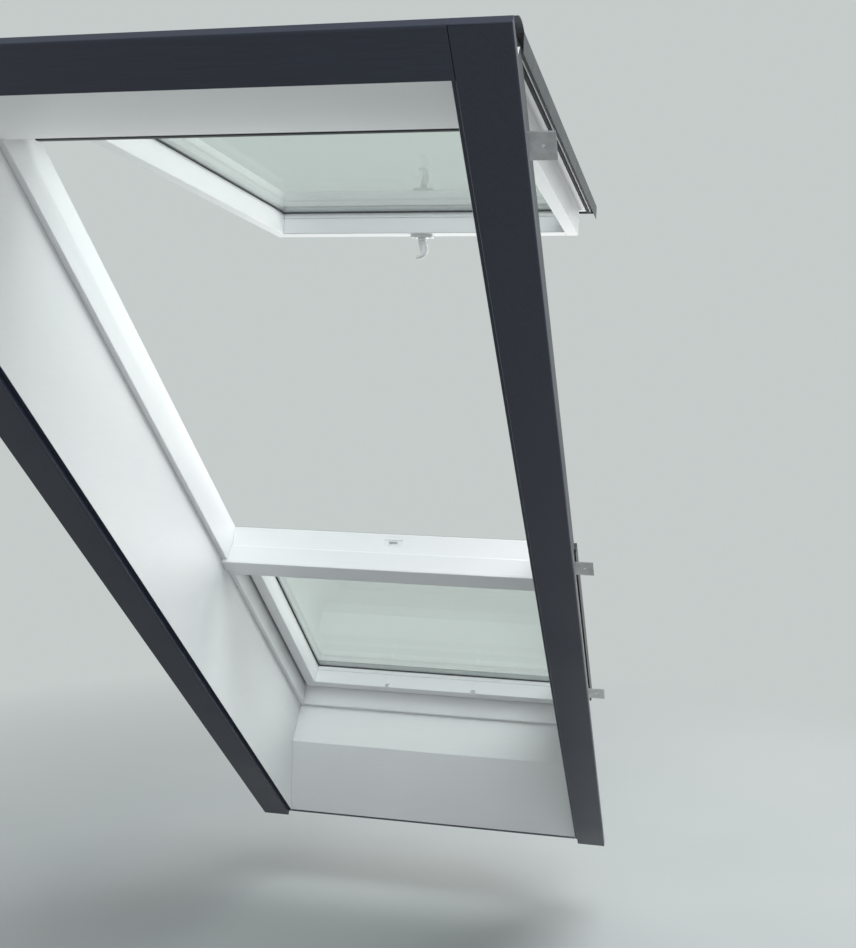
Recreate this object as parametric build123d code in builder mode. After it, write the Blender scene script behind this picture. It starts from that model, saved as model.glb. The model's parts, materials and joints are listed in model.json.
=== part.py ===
from build123d import *
from math import atan2, cos, degrees, hypot, radians, sin, tan
import os

# Roof window for a sloping ceiling: a top-hung window above a fixed lower window, with its lining
# boards and casing. Millimetres. X runs across, Y outwards through the roof, Z up. On the roof slope
# s is measured up the slope and n square to it, outwards, both from the lower edge of the apron board.

# Roof, opening and frames
roof_pitch = 38.5
lining_width = 903.0
frame_face = 297.0
frame_depth = 114.0
lower_frame_height = 866.0
upper_frame_height = 1495.5
open_angle = 36.9
open_limit = 45.0

# Lining and casing boards
board = 13.0
groove_depth = 10.0
groove_wall = 5.5
origin_depth = 33.0
apron_height = 220.0
head_lining_angle = 5.4
casing_width = 80.0
casing_thickness = 15.0
casing_setback = 9.0
casing_overhang = 15.0
casing_round = 2.5

# Frame members
jamb_lip = 13.6
lip_depth = 48.0
rebate_taper = 9.5
bottom_lip = 12.0
bottom_lip_rise = 21.0
lower_head = 35.5
transom_rise = 41.0
transom_fall = 3.0
transom_step = 6.0
transom_taper = 5.0
threshold_gap = 2.0
head_member = 65.0
edge_round = 2.5

# Cover board in front of the joint of the two frames
cover_board_height = 44.0
cover_board_thickness = 10.0
cover_board_rise = 1.5

# Sashes
sash_gap = 6.8
sash_face_gap = 3.0
glass_set_in = 4.0
member_width = 34.0
reveal_taper = 2.0
bottom_rail_extra = 22.0
bead_height = 14.0
bead_groove = 1.2
upstand = 17.0
flange_reach = 28.9
flange_room = 6.0
upstand_height = 28.0
top_flange_reach = 46.0

# Glazing
pane_thickness = 4.0
pane_space = 16.0
spacer_width = 10.0
glass_clearance = 2.0
gasket_thickness = 2.0
gasket_proud = 4.0
pane_edge_cover = 3.0

# Blind hooks on the fixed window's bottom rail, a little left of the middle
hook_spacing = 276.0
hook_offset = -20.0
hook_width = 10.0
hook_sheet = 2.5
hook_foot = 28.0
hook_rise = 13.0
hook_reach = 9.0
hook_lip = 3.5

# Outside covers and seals
sheet = 1.5
cover_inset = 25.0
cover_overhang = 3.5
cover_leg = 34.5
short_leg = 20.0
cover_lap_gap = 7.5
frame_flange = 1.2
frame_leg = 46.0
cladding_setback = 2.0
gutter_lap = 12.0
seal_width = 8.0
seal_clearance = 0.3
seal_set_back = 2.0
hood_angle = 36.0

# Hinges
hinge_below_top = 18.0
hinge_depth = 43.0
pin_radius = 5.0
pin_clearance = 0.05
rivet_radius = 8.0
rivet_height = 2.0
rivet_gap = 0.4
arm_thickness = 3.0
arm_half = 13.0
arm_length = 210.0
arm_depth = 26.0
hinge_plate = 5.0
hinge_plate_proud = 3.0
plate_below = 60.0
plate_above = 14.0
plate_half = 13.0
swing_clearance = 1.2
pocket_width = 14.0
pocket_margin = 2.0

# Ventilation bar and flap
bar_gap = 3.0
bar_rise = 7.0
bar_pivot_depth = 16.0
bar_reach = 40.0
bar_drop = 35.0
bar_root = 5.0
bar_grip = 14.0
bar_plate = 8.0
bar_taper = 2.0
bar_edge = 3.0
bar_bend = 6.0
bar_end_round = 10.0
bar_pin = 3.0
flap_half = 6.5
flap_thickness = 6.0
flap_seat = 3.0
flap_edge = 2.0
ear_thickness = 2.5
ear_foot = 22.0
ear_length = 28.0
ear_wall = 8.0
ear_edge = 6.0
ear_step = 2.0

# Handle and lock
handle_plate_width = 62.0
handle_plate_height = 30.0
handle_plate_thickness = 9.0
handle_plate_corner = 6.0
handle_plate_edge = 2.0
hub_radius = 12.0
hub_height = 8.0
lever_thickness = 18.0
lever_root = 13.0
lever_sink = 2.0
lever_lean = 20.0
lever_bend = 26.0
lever_stem = 25.0
lever_height = 52.0
lever_hook = 19.0
lever_nose = 12.0
lever_round = 9.0
hook_round = 5.0
spindle_side = 8.0
spindle_clearance = 0.6
bolt_width = 20.0
bolt_thickness = 14.0
bolt_length = 22.0
bolt_travel = 12.0
bolt_chamfer = 1.5
bolt_setback = 12.0
bolt_set_in = 0.5
bolt_clearance = 0.3
pocket_clearance = 1.3
case_width = 60.0
case_wall = 5.0
strike_width = 50.0
strike_thickness = 2.0
spindle_end = 3.0

# Fixing brackets
bracket_width = 60.0
bracket_sheet = 2.5
bracket_leg = 46.0
bracket_foot = 55.0
bracket_level = 59.0
bracket_hole = 3.5
screw_head = 4.5
screw_head_height = 2.5
screw_radius = 2.0
screw_length = 22.0
screw_spacing = 36.0
bracket_end_distance = 150.0

# Worked out from the sizes above
lining_half = lining_width / 2
groove_outer = lining_half + board
frame_half = groove_outer + groove_wall
lip_half = lining_half - jamb_lip
rebate_half = lip_half + rebate_taper
frame_outer = frame_face + frame_depth
lip_end = frame_face + lip_depth
groove_end = frame_face + groove_depth
sill_level = apron_height * sin(radians(roof_pitch))
fold_depth = apron_height * cos(radians(roof_pitch))
lower_frame_bottom = sill_level - board - groove_wall
frame_joint = lower_frame_bottom + lower_frame_height
frame_top = frame_joint + upper_frame_height
head_inner = frame_top - head_member
head_slope = radians(roof_pitch + head_lining_angle)
head_edge = head_inner + frame_face / tan(head_slope)
hinge_s = frame_top - hinge_below_top
hinge_n = frame_face + hinge_depth

sash_half = lip_half - sash_gap
glass_edge = upstand + glass_clearance
sash_face = lip_end + sash_face_gap
glass_face = frame_outer - glass_set_in
rebate_depth = glass_face - gasket_thickness
flange_under = frame_outer + flange_room
sash_outer = rebate_depth + upstand_height
lower_sash_bottom = sill_level + bottom_lip + bottom_lip_rise + sash_gap
lower_sash_top = frame_joint - lower_head - sash_gap
transom_edge = frame_joint + transom_rise - transom_fall - transom_step
upper_sash_bottom = transom_edge + threshold_gap
arris_reach = hypot(hinge_s - head_inner, frame_outer - hinge_n)
arris_angle = degrees(atan2(frame_outer - hinge_n, hinge_s - head_inner))
arris_top = hinge_s - arris_reach * cos(radians(max(0.0, arris_angle - open_limit))) - swing_clearance
bar_n = sash_face - bar_pivot_depth
flap_level = bar_n + flap_seat
flap_top = flap_level + flap_thickness
flap_reach = (hinge_s - head_inner + swing_clearance) / cos(radians(open_limit))
flap_high = hinge_s - flap_reach - (flap_top - hinge_n) * tan(radians(open_limit))
upper_sash_top = min(arris_top, flap_high - flap_half - bar_rise)
bottom_rail_width = member_width + bottom_rail_extra

os.makedirs("parts", exist_ok=True)


def slope_base(pitch, s, n, at):
    """Plane of a slope: its x runs across, y up the slope, z outwards; its point (s, n) lies on the point at"""
    up = Vector(0, -cos(radians(pitch)), sin(radians(pitch)))
    out = Vector(0, sin(radians(pitch)), cos(radians(pitch)))
    return Plane(origin=at - up * s - out * n, x_dir=(-1, 0, 0), z_dir=out)


def side_plane(base, x=0.0):
    """Sketch plane seen from the side: sketch x is s, sketch y is n"""
    return Plane(base.origin + Vector(x, 0, 0), x_dir=base.y_dir, z_dir=base.x_dir)


def end_plane(base, s):
    """Sketch plane square to the slope: sketch x is X, sketch y is n; it extrudes up the slope"""
    return Plane(base.origin + base.y_dir * s, x_dir=base.x_dir * -1, z_dir=base.y_dir)


def outline(points):
    Polygon(*points)


def soften(sketch, points, radius):
    """Round the corners of a sketch that lie on the given points"""
    near = [v for v in sketch.vertices() if any(abs(v.X - p[0]) + abs(v.Y - p[1]) < 0.01 for p in points)]
    fillet(near, radius)


def finish(piece, label):
    piece.part.label = label
    export_step(piece.part, f"parts/{label}.step")


roof = slope_base(roof_pitch, lower_frame_bottom, frame_face + origin_depth, Vector(0, 0, 0))
hinge_point = roof.from_local_coords(Vector(0, hinge_s, hinge_n))
sash = slope_base(roof_pitch - open_angle, hinge_s, hinge_n, hinge_point)
sides = ((-1, "left"), (1, "right"))


# Lining boards: the side boards cover the ends of the sill, apron and head boards
board_across_apron = board / cos(radians(roof_pitch))
board_across_head = board / sin(head_slope)
side_outline = [
    (-board_across_apron, 0),
    (sill_level - board, (sill_level - board + board_across_apron) / tan(radians(roof_pitch))),
    (sill_level - board, groove_end),
    (head_inner + board_across_head - groove_depth / tan(head_slope), groove_end),
    (head_edge + board_across_head, 0),
]
for side, name in sides:
    with BuildPart() as lining_side:
        with BuildSketch(side_plane(roof, side * lining_half)):
            outline(side_outline)
        extrude(amount=-side * board)
    finish(lining_side, f"lining_{name}")

head_slant = groove_depth / tan(head_slope)
with BuildPart() as lining_head:
    with BuildSketch(side_plane(roof)):
        outline([(head_edge, 0), (head_inner, frame_face), (head_inner + board_across_head, frame_face),
                 (head_edge + board_across_head, 0)])
    extrude(amount=lining_half, both=True)
    with BuildSketch(side_plane(roof)):
        outline([(head_inner, frame_face), (head_inner - head_slant, groove_end),
                 (head_inner - head_slant + board_across_head, groove_end),
                 (head_inner + board_across_head, frame_face)])
    extrude(amount=lip_half, both=True)
finish(lining_head, "lining_head")

sill_back = (sill_level - board + board_across_apron) / tan(radians(roof_pitch))
with BuildPart() as sill_board:
    for end, half in ((frame_face, lining_half), (groove_end, lip_half)):
        with BuildSketch(side_plane(roof)):
            outline([(sill_level, fold_depth), (sill_level, end), (sill_level - board, end),
                     (sill_level - board, sill_back)])
        extrude(amount=half, both=True)
finish(sill_board, "sill_board")

with BuildPart() as apron_board:
    with BuildSketch(side_plane(roof)):
        outline([
            (0, 0),
            (sill_level, fold_depth),
            (sill_level - board, sill_back),
            (-board_across_apron, 0),
        ])
    extrude(amount=lining_half, both=True)
finish(apron_board, "apron_board")

# Casing: the side boards run full height, the head board butts between them
casing_inner = lining_half + casing_setback
casing_top = head_edge + casing_setback + casing_width
for side, name in sides:
    with BuildPart() as casing_side:
        with BuildSketch(side_plane(roof, side * casing_inner)):
            outline([(-casing_overhang, 0), (casing_top, 0), (casing_top, -casing_thickness),
                     (-casing_overhang, -casing_thickness)])
        extrude(amount=-side * casing_width)
        room_side = casing_side.faces().sort_by(Axis(roof.origin, roof.z_dir))[0]
        fillet(room_side.edges(), casing_round)
    finish(casing_side, f"casing_{name}")

with BuildPart() as casing_head:
    with BuildSketch(side_plane(roof)) as section:
        outline([(head_edge + casing_setback, 0), (casing_top, 0), (casing_top, -casing_thickness),
                 (head_edge + casing_setback, -casing_thickness)])
        soften(section, [(casing_top, -casing_thickness), (head_edge + casing_setback, -casing_thickness)],
               casing_round)
    extrude(amount=casing_inner, both=True)
finish(casing_head, "casing_head")


# Frame members: a jamb has a groove for the lining and a lip, and opens out behind the lip
def jamb_outline(side):
    return [(side * x, n) for x, n in (
        (frame_half, frame_face), (groove_outer, frame_face), (groove_outer, groove_end),
        (lining_half, groove_end), (lining_half, frame_face), (lip_half, frame_face), (lip_half, lip_end),
        (rebate_half, frame_outer), (frame_half, frame_outer))]


def jamb_section(side, low, softened=True):
    with BuildSketch(end_plane(roof, low)) as section:
        outline(jamb_outline(side))
        if softened:
            soften(section, [(side * lip_half, frame_face), (side * rebate_half, frame_outer)], edge_round)
    return section.sketch


def hinge_plate_outline():
    outline([(hinge_s - plate_below, hinge_n - plate_half), (hinge_s + plate_above, hinge_n - plate_half),
             (hinge_s + plate_above, hinge_n + plate_half), (hinge_s - plate_below, hinge_n + plate_half)])


# The brackets' screws stand in pairs on the jambs' outer sides
bracket_places = (lower_frame_bottom + bracket_end_distance, frame_joint, frame_top - bracket_end_distance)
foot_n = frame_outer - bracket_level
screw_places = [place + step for place in bracket_places for step in (-screw_spacing / 2, screw_spacing / 2)]


def screw_rows(low, high):
    return [(s, foot_n - bracket_leg / 2) for s in screw_places if low < s < high]


for side, name in sides:
    for label, low, height in (("lower", lower_frame_bottom, lower_frame_height),
                               ("upper", frame_joint, upper_frame_height)):
        with BuildPart() as jamb:
            extrude(jamb_section(side, low), amount=height)
            with BuildSketch(side_plane(roof, side * frame_half)):
                with Locations(*screw_rows(low, low + height)):
                    Circle(screw_radius + pin_clearance)
            extrude(amount=side * (screw_length - bracket_sheet), mode=Mode.SUBTRACT)
            if label == "upper":
                with BuildSketch(side_plane(roof, side * (lip_half - hinge_plate_proud))):
                    hinge_plate_outline()
                extrude(amount=-side * hinge_plate, mode=Mode.SUBTRACT)
        finish(jamb, f"{label}_frame_{name}")


def between_jambs(low, height):
    """Cope a rail of the frame to the jambs that it stands between"""
    for side, name in sides:
        extrude(jamb_section(side, low, False), amount=height, mode=Mode.SUBTRACT)


with BuildPart() as lower_frame_bottom_rail:
    with BuildSketch(side_plane(roof)) as section:
        lip_top = sill_level + bottom_lip
        outline([
            (lower_frame_bottom, frame_face), (sill_level - board, frame_face), (sill_level - board, groove_end),
            (sill_level, groove_end), (sill_level, frame_face), (lip_top, frame_face),
            (lip_top + bottom_lip_rise, lip_end), (lip_top + bottom_lip_rise, frame_outer),
            (lower_frame_bottom, frame_outer)])
        soften(section, [(lip_top, frame_face)], edge_round)
    extrude(amount=rebate_half, both=True)
    between_jambs(lower_frame_bottom, lower_frame_height)
finish(lower_frame_bottom_rail, "lower_frame_bottom")

with BuildPart() as lower_frame_head:
    with BuildSketch(side_plane(roof)):
        low = frame_joint - lower_head
        outline([(low, frame_face), (low, lip_end), (low + rebate_taper, frame_outer), (frame_joint, frame_outer),
                 (frame_joint, frame_face)])
    extrude(amount=rebate_half, both=True)
    between_jambs(lower_frame_bottom, lower_frame_height)
finish(lower_frame_head, "lower_frame_head")

strike_seat = transom_edge - transom_taper - strike_thickness
bolt_depth = (sash_face + sash_outer) / 2 - bolt_setback
with BuildPart() as upper_frame_bottom_rail:
    with BuildSketch(side_plane(roof)) as section:
        lip_top = frame_joint + transom_rise
        outline([
            (frame_joint, frame_face), (lip_top, frame_face), (lip_top - transom_fall, lip_end),
            (transom_edge, lip_end), (transom_edge - transom_taper, frame_outer), (frame_joint, frame_outer)])
        soften(section, [(lip_top - transom_fall, lip_end), (transom_edge - transom_taper, frame_outer)],
               edge_round)
    extrude(amount=rebate_half, both=True)
    between_jambs(frame_joint, upper_frame_height)
    with BuildSketch(side_plane(roof)):
        half = bolt_thickness / 2 + case_wall
        outline([(strike_seat, bolt_depth - half), (frame_top, bolt_depth - half),
                 (frame_top, bolt_depth + half), (strike_seat, bolt_depth + half)])
    extrude(amount=strike_width / 2, both=True, mode=Mode.SUBTRACT)
    with BuildSketch(side_plane(roof)):
        half = bolt_thickness / 2 + pocket_clearance
        pocket_low = upper_sash_bottom - bolt_travel - pocket_clearance
        outline([(pocket_low, bolt_depth - half), (strike_seat, bolt_depth - half),
                 (strike_seat, bolt_depth + half), (pocket_low, bolt_depth + half)])
    extrude(amount=bolt_width / 2 + pocket_clearance, both=True, mode=Mode.SUBTRACT)
finish(upper_frame_bottom_rail, "upper_frame_bottom")

pocket_outer = lip_half - pocket_width
with BuildPart() as upper_frame_head:
    with BuildSketch(side_plane(roof)):
        outline([(head_inner, groove_end), (head_inner, frame_outer), (frame_top, frame_outer),
                 (frame_top, frame_face), (head_inner + board_across_head, frame_face),
                 (head_inner + board_across_head - head_slant, groove_end)])
    extrude(amount=rebate_half, both=True)
    between_jambs(frame_joint, upper_frame_height)
    for side, name in sides:
        with BuildSketch(side_plane(roof, side * pocket_outer)):
            low = hinge_n - arm_half - pocket_margin
            outline([(head_inner - 1, low), (frame_top + 1, low), (frame_top + 1, frame_outer + 1),
                     (head_inner - 1, frame_outer + 1)])
        extrude(amount=-side * frame_half, mode=Mode.SUBTRACT)
finish(upper_frame_head, "upper_frame_head")

with BuildPart() as transom_cover:
    with BuildSketch(side_plane(roof)) as section:
        top = frame_joint + transom_rise + cover_board_rise
        low = top - cover_board_height
        front = frame_face - cover_board_thickness
        outline([(low, frame_face), (low, front), (top, front), (top, frame_face)])
        soften(section, [(low, front), (top, front)], edge_round)
    extrude(amount=lining_half, both=True)
finish(transom_cover, "transom_cover_board")


# Sashes: the stiles run full height and the rails are coped to them
def sash_outline(low_edge, direction, width, reach):
    """Section of a sash member; a runs from its outer side towards the glass"""
    return [(low_edge + direction * a, n) for a, n in (
        (0, sash_face), (width - reveal_taper, sash_face), (width, rebate_depth), (width - member_width + upstand,
        rebate_depth), (width - member_width + upstand, sash_outer), (-reach, sash_outer), (-reach, flange_under),
        (0, flange_under))]


def stile_section(base, side, low, softened=True):
    edge = side * sash_half
    with BuildSketch(end_plane(base, low)) as section:
        outline(sash_outline(edge, -side, member_width, flange_reach))
        if softened:
            inner = edge - side * (member_width - reveal_taper)
            soften(section, [(inner, sash_face), (edge, sash_face)], edge_round)
    return section.sketch


def make_stile(base, side, low, high):
    with BuildPart() as stile:
        extrude(stile_section(base, side, low), amount=high - low)
    return stile


def reveal(edge, width, n):
    """Place on the slope of the face that a bottom rail shows towards the glass, at the depth n"""
    return edge + width - reveal_taper * (rebate_depth - n) / (rebate_depth - sash_face)


def make_rail(base, edge, direction, width, reach, low, high, bead=False):
    with BuildPart() as rail:
        with BuildSketch(side_plane(base)) as section:
            outline(sash_outline(edge, direction, width, reach))
            inner = edge + direction * (width - reveal_taper)
            soften(section, [(inner, sash_face), (edge, sash_face)], edge_round)
        extrude(amount=sash_half, both=True)
        with BuildSketch(side_plane(base)):
            outline([(edge, flange_under), (edge, sash_outer), (edge - direction * reach, sash_outer),
                     (edge - direction * reach, flange_under)])
        extrude(amount=sash_half + flange_reach, both=True)
        if bead:
            line = rebate_depth - bead_height
            face = reveal(edge, width, line)
            with BuildSketch(side_plane(base)):
                with Locations((face, line)):
                    Rectangle(2 * bead_groove, bead_groove)
            extrude(amount=sash_half, both=True, mode=Mode.SUBTRACT)
        for side, name in sides:
            extrude(stile_section(base, side, low, False), amount=high - low, mode=Mode.SUBTRACT)
    return rail


# The bottom rail of the opening sash is wider and holds the lock
handle_s = upper_sash_bottom + bottom_rail_width / 2
case_low = upper_sash_bottom
case_high = handle_s + spindle_side / 2 + case_wall
case_half = bolt_thickness / 2 + case_wall
spindle_hole = spindle_side / 2 * 2 ** 0.5 + spindle_clearance
for side, name in sides:
    finish(make_stile(roof, side, lower_sash_bottom, lower_sash_top), f"lower_sash_{name}")
    finish(make_stile(sash, side, upper_sash_bottom, upper_sash_top), f"upper_sash_{name}")
finish(make_rail(roof, lower_sash_bottom, 1, member_width, flange_reach, lower_sash_bottom, lower_sash_top,
                 bead=True), "lower_sash_bottom")
finish(make_rail(roof, lower_sash_top, -1, member_width, flange_reach, lower_sash_bottom, lower_sash_top),
       "lower_sash_top")
finish(make_rail(sash, upper_sash_top, -1, member_width, top_flange_reach, upper_sash_bottom, upper_sash_top),
       "upper_sash_top")

wide_rail = make_rail(sash, upper_sash_bottom, 1, bottom_rail_width, flange_reach, upper_sash_bottom,
                      upper_sash_top, bead=True)
with BuildPart() as bottom_rail:
    add(wide_rail.part)
    with BuildSketch(side_plane(sash)):
        outline([(case_low - 1, bolt_depth - case_half), (case_high, bolt_depth - case_half),
                 (case_high, bolt_depth + case_half), (case_low - 1, bolt_depth + case_half)])
    extrude(amount=case_width / 2, both=True, mode=Mode.SUBTRACT)
    with BuildSketch(sash.offset(sash_face)):
        with Locations((0, handle_s)):
            Circle(spindle_hole)
    extrude(amount=bolt_depth - case_half - sash_face, mode=Mode.SUBTRACT)
finish(bottom_rail, "upper_sash_bottom")


# Glazing: two panes on a spacer, held on a gasket
def ring(base, level, thickness, outer, inner):
    """Flat ring between two rectangles given as (half width, low, high)"""
    with BuildPart() as piece:
        with BuildSketch(base.offset(level)):
            for (half, low, high), mode in ((outer, Mode.ADD), (inner, Mode.SUBTRACT)):
                with Locations((0, (low + high) / 2)):
                    Rectangle(2 * half, high - low, mode=mode)
        extrude(amount=thickness)
    return piece


def shrink(box, by):
    half, low, high = box
    return half - by, low + by, high - by


def glaze(base, label, low, high, bottom_extra):
    glass = (sash_half - glass_edge, low + glass_edge + bottom_extra, high - glass_edge)
    sight = (sash_half - member_width - gasket_proud, low + member_width + bottom_extra + gasket_proud,
             high - member_width - gasket_proud)
    levels = (("inner_pane", glass_face), ("outer_pane", glass_face + pane_thickness + pane_space))
    for pane_name, level in levels:
        with BuildPart() as pane:
            with BuildSketch(base.offset(level)):
                with Locations((0, (glass[1] + glass[2]) / 2)):
                    Rectangle(2 * glass[0], glass[2] - glass[1])
            extrude(amount=pane_thickness)
        finish(pane, f"{label}_{pane_name}")
    spacer_box = shrink(glass, pane_edge_cover)
    spacer = ring(base, glass_face + pane_thickness, pane_space, spacer_box, shrink(spacer_box, spacer_width))
    finish(spacer, f"{label}_pane_spacer")
    finish(ring(base, rebate_depth, gasket_thickness, glass, sight), f"{label}_glazing_gasket")


glaze(roof, "lower", lower_sash_bottom, lower_sash_top, 0.0)
glaze(sash, "upper", upper_sash_bottom, upper_sash_top, bottom_rail_extra)

# Hooks that hold a blind's pull bar, on the face of the bottom rail below the fixed pane
hook_start = rebate_depth - bead_height - bead_groove
hook_bend = hook_start - hook_foot
hook_end = hook_bend - hook_reach
with BuildPart() as blind_hooks:
    for direction, name in sides:
        with BuildSketch(side_plane(roof, hook_offset + direction * hook_spacing / 2)) as section:
            near = reveal(lower_sash_bottom, member_width, hook_start)
            far = reveal(lower_sash_bottom, member_width, hook_bend)
            tip = far + hook_rise
            outline([(near, hook_start), (far, hook_bend), (tip - hook_lip, hook_end), (tip, hook_end),
                     (tip, hook_end + hook_lip), (tip - hook_lip, hook_end + hook_lip),
                     (far + hook_sheet, hook_bend + hook_lip), (near + hook_sheet, hook_start)])
            soften(section, [(far, hook_bend), (tip - hook_lip, hook_end)], hook_sheet)
        extrude(amount=hook_width / 2, both=True)
finish(blind_hooks, "blind_hooks")


# Outside covers of bent sheet: a plate over the sash's edge with a lip on the pane and a leg
def cover_outline(edge, direction, inset, overhang, leg):
    lip_low = glass_face + 2 * pane_thickness + pane_space + seal_clearance
    out = flange_reach + overhang
    return [(edge + direction * a, n) for a, n in (
        (inset, sash_outer + sheet), (inset, lip_low), (inset - sheet, lip_low), (inset - sheet, sash_outer),
        (-out + sheet, sash_outer), (-out + sheet, sash_outer + sheet - leg), (-out, sash_outer + sheet - leg),
        (-out, sash_outer + sheet))]


side_overhang = frame_half + cover_overhang + sheet - sash_half - flange_reach
foot_overhang = lower_sash_bottom - lower_frame_bottom + cover_overhang + sheet - flange_reach
head_overhang = sheet
lap_overhang = upper_sash_bottom - lower_sash_top - 2 * flange_reach - head_overhang - cover_lap_gap
lower_low = lower_sash_bottom - flange_reach - foot_overhang + sheet
lower_high = lower_sash_top + flange_reach + head_overhang - sheet
upper_low = upper_sash_bottom - flange_reach - lap_overhang + sheet
upper_high = upper_sash_top + top_flange_reach


def side_cover(base, side, low, high, lip_from, lip_to):
    corner = cover_outline(side * sash_half, -side, cover_inset, side_overhang, cover_leg)
    inner, out = corner[0][0], corner[-1][0]
    with BuildPart() as cover:
        with BuildSketch(end_plane(base, low)):
            outline([(inner, sash_outer + sheet), (inner, sash_outer)] + corner[4:])
        extrude(amount=high - low)
        with BuildSketch(end_plane(base, lip_from)):
            outline(corner[1:4] + [(inner, sash_outer)])
        extrude(amount=lip_to - lip_from)
    return cover


def bottom_cover(base, edge, direction, inset, overhang, leg):
    """Cover between the side covers, with a leg that runs on to their outer edges"""
    out = flange_reach + overhang
    with BuildPart() as cover:
        with BuildSketch(side_plane(base)):
            outline(cover_outline(edge, direction, inset, overhang, leg))
        extrude(amount=sash_half - cover_inset, both=True)
        with BuildSketch(side_plane(base)):
            outline([(edge - direction * (out - sheet), sash_outer + sheet), (edge - direction * out,
                    sash_outer + sheet), (edge - direction * out, sash_outer + sheet - leg),
                    (edge - direction * (out - sheet), sash_outer + sheet - leg)])
        extrude(amount=sash_half + flange_reach + side_overhang, both=True)
    return cover


for side, name in sides:
    finish(side_cover(roof, side, lower_low, lower_high, lower_sash_bottom + cover_inset,
                      lower_sash_top - cover_inset), f"lower_cover_{name}")
    finish(side_cover(sash, side, upper_low, upper_high, upper_sash_bottom + cover_inset + bottom_rail_extra,
                      upper_sash_top - cover_inset), f"sash_cover_{name}")
finish(bottom_cover(roof, lower_sash_bottom, 1, cover_inset, foot_overhang, cover_leg), "lower_cover_bottom")
finish(bottom_cover(roof, lower_sash_top, -1, cover_inset, head_overhang, short_leg), "lower_cover_top")
finish(bottom_cover(sash, upper_sash_bottom, 1, cover_inset + bottom_rail_extra, lap_overhang, short_leg),
       "sash_cover_bottom")


# The hood turns with the sash, so its arc is centred on the hinge
def around_hinge(radius, angle):
    return hinge_s - radius * cos(radians(angle)), hinge_n + radius * sin(radians(angle))


hood_inner = hypot(hinge_s - upper_high, sash_outer - hinge_n)
hood_start = degrees(atan2(sash_outer - hinge_n, hinge_s - upper_high))
outer_start = degrees(atan2(sash_outer + sheet - hinge_n, hinge_s - upper_high))
with BuildPart() as sash_hood:
    plate_low = upper_sash_top - cover_inset
    lip_low = glass_face + 2 * pane_thickness + pane_space + seal_clearance
    with BuildSketch(side_plane(sash)):
        outline([(plate_low, sash_outer + sheet), (plate_low, lip_low), (plate_low + sheet, lip_low),
                 (plate_low + sheet, sash_outer), (upper_high, sash_outer), (upper_high, sash_outer + sheet)])
    extrude(amount=sash_half - cover_inset, both=True)
    outer_radius = hypot(hinge_s - upper_high, sash_outer + sheet - hinge_n)
    with BuildSketch(side_plane(sash)):
        with BuildLine():
            inner_arc = ThreePointArc(around_hinge(hood_inner, hood_start),
                                      around_hinge(hood_inner, hood_start + hood_angle / 2),
                                      around_hinge(hood_inner, hood_start + hood_angle))
            outer_arc = ThreePointArc(around_hinge(outer_radius, outer_start + hood_angle),
                                      around_hinge(outer_radius, outer_start + hood_angle / 2),
                                      around_hinge(outer_radius, outer_start))
            Line(inner_arc @ 1, outer_arc @ 0)
            Line(outer_arc @ 1, inner_arc @ 0)
        make_face()
    extrude(amount=sash_half + flange_reach + side_overhang, both=True)
finish(sash_hood, "sash_hood")

# Sheet over the outer edge of the opening frame, and the gutter over the joint of the two frames
flange_inner = rebate_half + cladding_setback
for side, name in sides:
    with BuildPart() as frame_cover:
        with BuildSketch(end_plane(roof, frame_joint)):
            outline([(side * x, n) for x, n in (
                (flange_inner, frame_outer), (flange_inner, frame_outer + frame_flange),
                (frame_half + frame_flange, frame_outer + frame_flange),
                (frame_half + frame_flange, frame_outer - frame_leg), (frame_half, frame_outer - frame_leg),
                (frame_half, frame_outer))])
        extrude(amount=upper_frame_height)
    finish(frame_cover, f"frame_cover_{name}")

with BuildPart() as frame_cover_head:
    with BuildSketch(side_plane(roof)):
        outline([(head_inner + cladding_setback, frame_outer), (head_inner + cladding_setback,
                frame_outer + frame_flange), (frame_top + frame_flange, frame_outer + frame_flange),
                (frame_top + frame_flange, frame_outer - frame_leg), (frame_top, frame_outer - frame_leg),
                (frame_top, frame_outer)])
    extrude(amount=flange_inner, both=True)
    for side, name in sides:
        with BuildSketch(side_plane(roof, side * (pocket_outer - 1))):
            outline([(head_inner, frame_outer - 1), (frame_top, frame_outer - 1),
                     (frame_top, frame_outer + frame_flange + 1), (head_inner, frame_outer + frame_flange + 1)])
        extrude(amount=-side * (flange_inner - pocket_outer + 1), mode=Mode.SUBTRACT)
finish(frame_cover_head, "frame_cover_head")

gutter_low = frame_joint - gutter_lap
gutter_high = transom_edge - transom_taper - cladding_setback
with BuildPart() as transom_gutter:
    with BuildSketch(side_plane(roof)):
        outline([(gutter_low, frame_outer), (gutter_high, frame_outer), (gutter_high, frame_outer + frame_flange),
                 (gutter_low, frame_outer + frame_flange)])
    extrude(amount=flange_inner, both=True)
finish(transom_gutter, "transom_gutter")

# Weather seals under the sashes' flanges
seal_level = frame_outer + frame_flange + seal_clearance
seal_height = flange_under - seal_level
seal_out = flange_reach - seal_set_back
top_seal_out = top_flange_reach - seal_set_back
upper_seal = (sash_half + seal_out, upper_sash_bottom - seal_out, upper_sash_top + top_seal_out)
upper_seal_inner = shrink(upper_seal, seal_width)
finish(ring(sash, seal_level, seal_height, upper_seal, upper_seal_inner), "sash_weather_seal")
lower_seal = (sash_half + seal_out, lower_sash_bottom - seal_out, lower_sash_top + seal_out)
lower_seal_inner = shrink(lower_seal, seal_width)
finish(ring(roof, frame_outer, flange_room, lower_seal, lower_seal_inner), "lower_weather_seal")

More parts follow.
